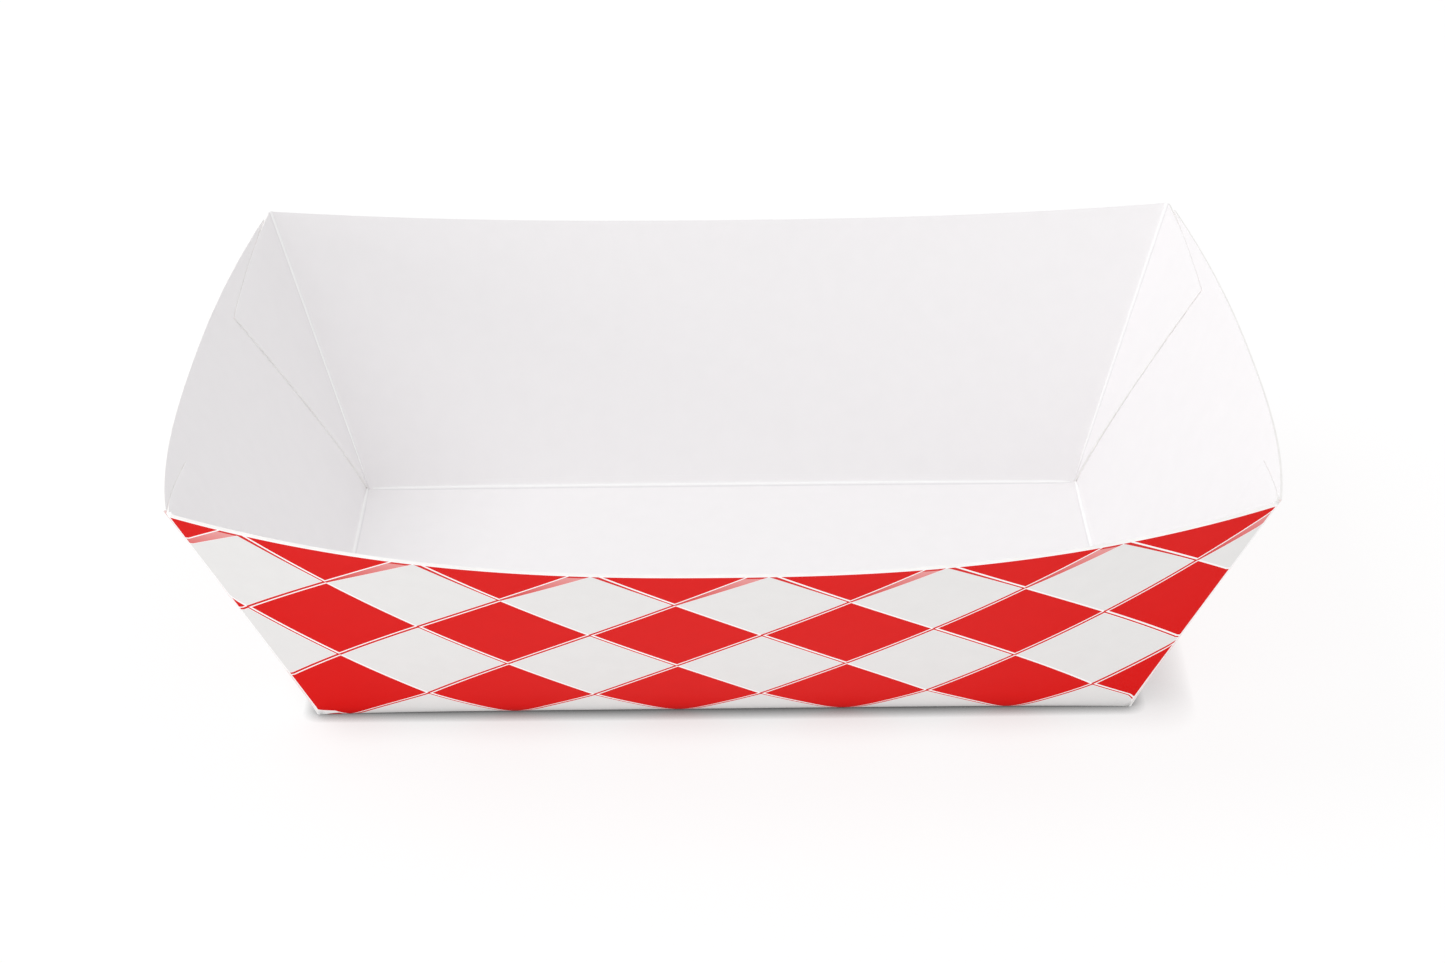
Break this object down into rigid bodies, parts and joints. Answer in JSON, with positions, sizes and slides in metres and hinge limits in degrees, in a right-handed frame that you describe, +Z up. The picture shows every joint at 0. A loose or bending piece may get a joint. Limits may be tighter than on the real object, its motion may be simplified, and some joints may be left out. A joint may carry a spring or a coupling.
{
  "type": "paper food tray",
  "caption": "Open paperboard food tray with four leaning, bowed walls and glued corners, printed with a red and white diamond check outside.",
  "frame": {"origin": "middle of the floor's underside, on the surface that the tray stands on", "axes": "+Z up, +X along the long walls, +Y towards the back long wall"},
  "size_m": [0.1978, 0.1516, 0.0532],
  "materials": {
    "paperboard": "matt"
  },
  "bodies": {
    "root": {"folded_tray": "paperboard"}
  },
  "joints": []
}
